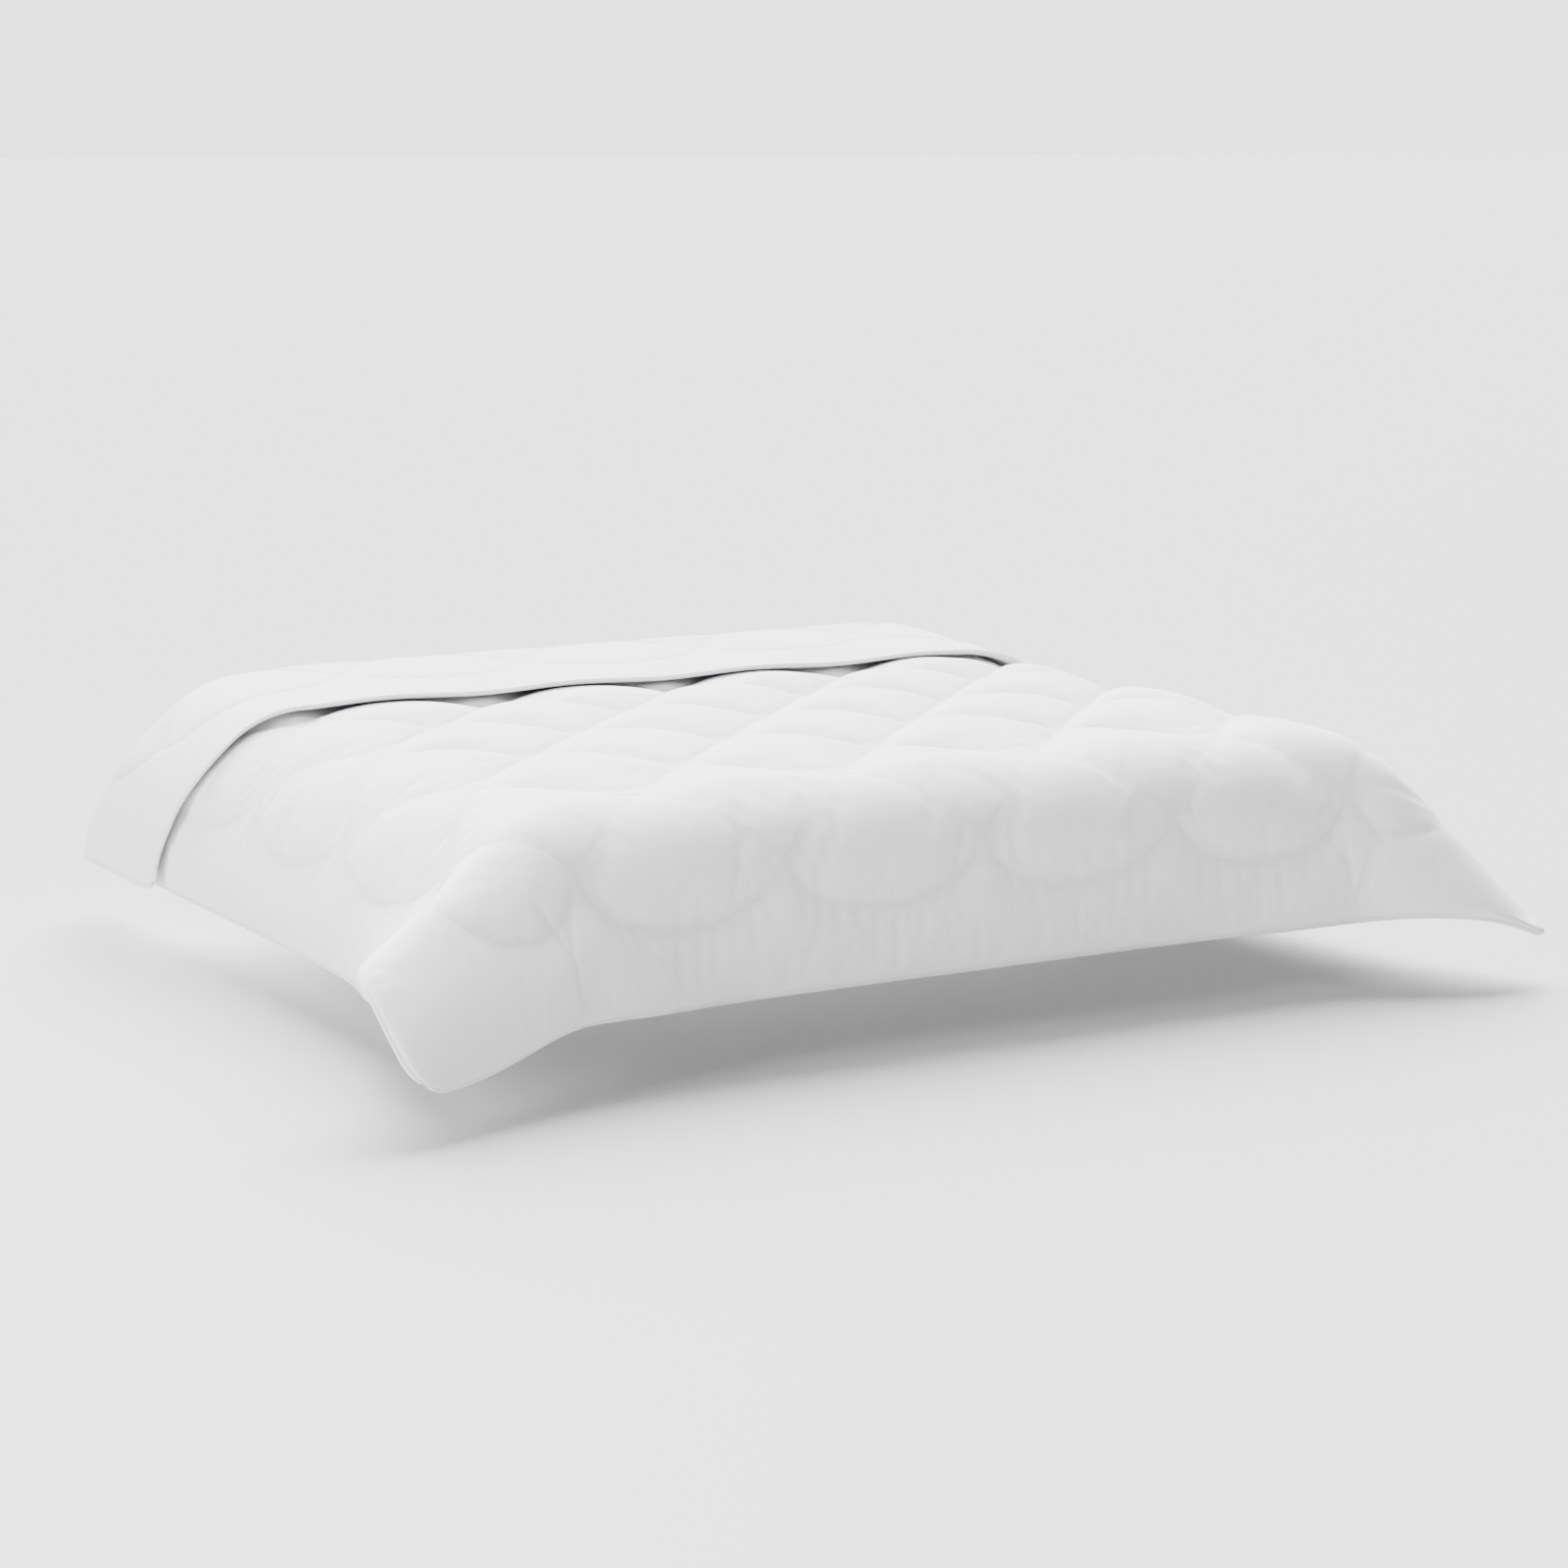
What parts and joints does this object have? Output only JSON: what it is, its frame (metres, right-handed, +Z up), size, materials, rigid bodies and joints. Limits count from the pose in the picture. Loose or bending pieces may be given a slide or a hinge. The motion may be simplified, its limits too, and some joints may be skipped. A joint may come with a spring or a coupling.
{
  "type": "duvet",
  "caption": "White quilted double-bed duvet with diamond pockets, lying over a mattress with both sides and the foot hanging down and the head end folded back.",
  "frame": {"origin": "middle of the mattress top, on the flat underside of the duvet", "axes": "+X to the right seen from the foot, +Y towards the head, +Z up, out of the mattress"},
  "size_m": [2.247, 1.8185, 0.3977],
  "materials": {
    "cotton_cover": "plain-woven white cotton, matt",
    "batting": "white fibre wadding",
    "thread": "white sewing thread with a slight sheen",
    "piping": "white cotton binding, folded over a cord"
  },
  "bodies": {
    "root": {"backing_fabric": "cotton_cover", "face_fabric": "cotton_cover", "batting_top": "batting", "batting_foot_shoulder": "batting", "batting_foot_drop": "batting", "batting_fold": "batting", "batting_flap": "batting", "batting_left_shoulder": "batting", "batting_left_drop": "batting", "batting_left_corner": "batting", "batting_left_fold": "batting", "batting_left_wing": "batting", "batting_right_shoulder": "batting", "batting_right_drop": "batting", "batting_right_corner": "batting", "batting_right_fold": "batting", "batting_right_wing": "batting", "quilting_right_leaning_1": "thread", "quilting_left_leaning_1": "thread", "quilting_right_leaning_2": "thread", "quilting_left_leaning_2": "thread", "quilting_right_leaning_3": "thread", "quilting_left_leaning_3": "thread", "quilting_right_leaning_4": "thread", "quilting_left_leaning_4": "thread", "quilting_right_leaning_5": "thread", "quilting_left_leaning_5": "thread", "quilting_right_leaning_6": "thread", "quilting_left_leaning_6": "thread", "quilting_right_leaning_7": "thread", "quilting_left_leaning_7": "thread", "quilting_right_leaning_8": "thread", "quilting_left_leaning_8": "thread", "quilting_right_leaning_9": "thread", "quilting_left_leaning_9": "thread", "border_stitching": "thread", "piping_foot": "piping", "piping_head": "piping", "piping_left": "piping", "piping_right": "piping"}
  },
  "joints": []
}
